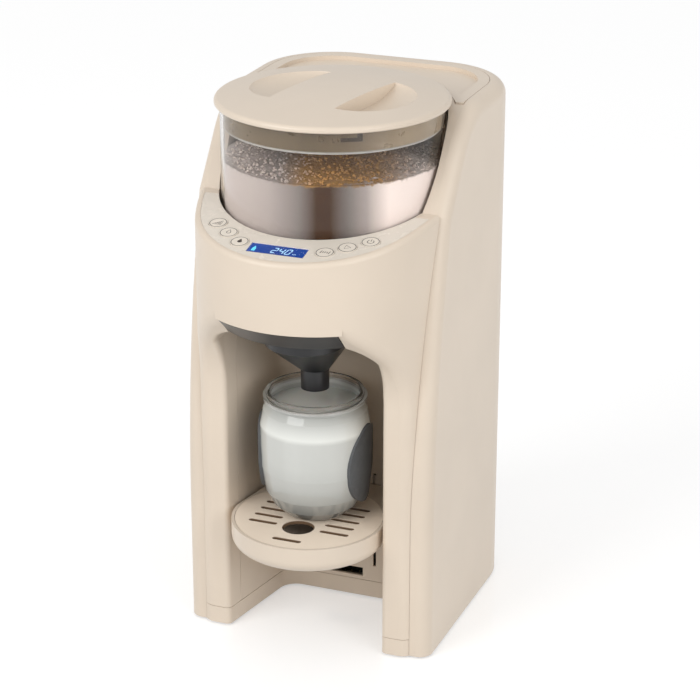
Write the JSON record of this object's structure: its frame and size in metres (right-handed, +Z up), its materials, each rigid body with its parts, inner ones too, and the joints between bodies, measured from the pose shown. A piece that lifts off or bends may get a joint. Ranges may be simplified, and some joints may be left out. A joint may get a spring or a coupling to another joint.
{
  "type": "baby formula maker",
  "caption": "Countertop baby formula maker: powder container and dosing drive over a mixing funnel, bottle bay with height-adjustable tray, rear water tank and control panel.",
  "frame": {"origin": "on the table, under the middle of the body", "axes": "+Z up, +X to the right seen from the front, +Y to the back; the bottle bay opens towards -Y"},
  "size_m": [0.192, 0.267, 0.4097],
  "materials": {
    "casing": "satin moulded plastic, sand beige",
    "panel": "satin moulded plastic, light sand",
    "button": "satin plastic with printed symbols",
    "clear": "clear, very slightly smoky",
    "tank": "clear, faint blue",
    "powder": "loose pale powder, coarse on top",
    "milk": "milk-white liquid",
    "vessel": "clear, faintly smoky",
    "grip": "soft dark grey",
    "dark": "semi-gloss dark grey",
    "display": "glossy, lit blue",
    "rubber": "matte",
    "seal": "translucent silicone",
    "inner": "plain white moulding",
    "gear": "self-coloured acetal",
    "steel": "turned",
    "zinc": "zinc plated",
    "bush": "sintered",
    "hose": "translucent silicone",
    "board": "solder mask green",
    "part": "moulded components"
  },
  "bodies": {
    "machine": {"base_cover": "casing", "bay_liner": "casing", "button_switches": "part", "casing_screws": "steel", "container_well": "inner", "control_board": "board", "control_panel": "panel", "display_module": "part", "display_window": "display", "drive_bracket": "zinc", "front_housing": "casing", "funnel_rails": "inner", "gear_motor": "zinc", "nozzle_hose": "hose", "power_board": "board", "power_inlet": "part", "power_parts": "part", "pump_hose": "hose", "rear_shell": "casing", "rubber_feet": "rubber", "shaft_bushes": "bush", "socket_seal": "seal", "tank_hose": "hose", "tank_shelf": "inner", "tank_socket": "inner", "water_heater": "steel", "water_nozzle": "inner", "water_pump": "part"},
    "drive": {"drive_gear": "gear", "drive_shaft": "steel"},
    "motor_output": {"motor_pinion": "gear", "motor_shaft": "steel"},
    "container": {"powder_container": "clear", "container_base": "inner", "powder": "powder"},
    "doser": {"stirrer": "inner", "dosing_wheel": "inner"},
    "lid": {"container_lid": "casing", "lid_skirt": "clear", "lid_seal": "seal"},
    "tank": {"water_tank": "tank", "tank_valve": "inner", "valve_spring": "steel"},
    "tank_cover": {"tank_lid": "casing"},
    "valve": {"valve_plunger": "inner"},
    "funnel": {"mixing_funnel": "dark", "funnel_cover": "dark"},
    "carriage": {"tray_carriage": "inner"},
    "tray": {"bottle_tray": "casing", "tray_grate": "casing"},
    "bottle": {"baby_bottle": "vessel", "bottle_milk": "milk", "bottle_grips": "grip"},
    "button_powder": {"button_powder": "button"},
    "button_water": {"button_water": "button"},
    "button_warmth": {"button_warmth": "button"},
    "button_unit": {"button_unit": "button"},
    "button_start": {"button_start": "button"},
    "button_power": {"button_power": "button"}
  },
  "joints": [
    {"name": "drive_spin", "type": "hinge", "parent": "machine", "child": "drive", "pos_m": [0, -0.016, 0.29], "axis": [0, 0, 1], "continuous": true},
    {"name": "pinion_spin", "type": "hinge", "parent": "machine", "child": "motor_output", "pos_m": [0, 0.015, 0.284], "axis": [0, 0, 1], "continuous": true},
    {"name": "container_lift", "type": "slide", "parent": "machine", "child": "container", "axis": [0, 0, 1], "range_m": [0, 0.12]},
    {"name": "doser_spin", "type": "hinge", "parent": "container", "child": "doser", "pos_m": [0, -0.016, 0.315], "axis": [0, 0, 1], "continuous": true},
    {"name": "lid_lift", "type": "slide", "parent": "container", "child": "lid", "axis": [0, 0, 1], "range_m": [0, 0.06]},
    {"name": "tank_lift", "type": "slide", "parent": "machine", "child": "tank", "axis": [0, 0, 1], "range_m": [0, 0.23]},
    {"name": "tank_cover_lift", "type": "slide", "parent": "tank", "child": "tank_cover", "axis": [0, 0, 1], "range_m": [0, 0.05]},
    {"name": "valve_open", "type": "slide", "parent": "tank", "child": "valve", "axis": [0, 0, 1], "range_m": [0, 0.0025], "stiffness_N_per_m": 120, "deforming": ["valve_spring"]},
    {"name": "funnel_slide", "type": "slide", "parent": "machine", "child": "funnel", "axis": [0, -1, 0], "range_m": [0, 0.08]},
    {"name": "carriage_slide", "type": "slide", "parent": "machine", "child": "carriage", "axis": [0, 0, 1], "range_m": [-0.055, 0.008]},
    {"name": "tray_slide", "type": "slide", "parent": "carriage", "child": "tray", "axis": [0, -1, 0], "range_m": [0, 0.07]},
    {"name": "bottle_slide", "type": "slide", "parent": "tray", "child": "bottle", "axis": [0, -1, 0], "range_m": [0, 0.07]},
    {"name": "button_powder_press", "type": "slide", "parent": "machine", "child": "button_powder", "axis": [0, 0.1908, -0.9816], "range_m": [0, 0.0007], "stiffness_N_per_m": 900},
    {"name": "button_water_press", "type": "slide", "parent": "machine", "child": "button_water", "axis": [0, 0.1908, -0.9816], "range_m": [0, 0.0007], "stiffness_N_per_m": 900},
    {"name": "button_warmth_press", "type": "slide", "parent": "machine", "child": "button_warmth", "axis": [0, 0.1908, -0.9816], "range_m": [0, 0.0007], "stiffness_N_per_m": 900},
    {"name": "button_unit_press", "type": "slide", "parent": "machine", "child": "button_unit", "axis": [0, 0.1908, -0.9816], "range_m": [0, 0.0007], "stiffness_N_per_m": 900},
    {"name": "button_start_press", "type": "slide", "parent": "machine", "child": "button_start", "axis": [0, 0.1908, -0.9816], "range_m": [0, 0.0007], "stiffness_N_per_m": 900},
    {"name": "button_power_press", "type": "slide", "parent": "machine", "child": "button_power", "axis": [0, 0.1908, -0.9816], "range_m": [0, 0.0007], "stiffness_N_per_m": 900}
  ],
  "couplings": [
    {"joint": "pinion_spin", "follows": "drive_spin", "ratio": -1.5833},
    {"joint": "doser_spin", "follows": "drive_spin", "ratio": 1}
  ]
}
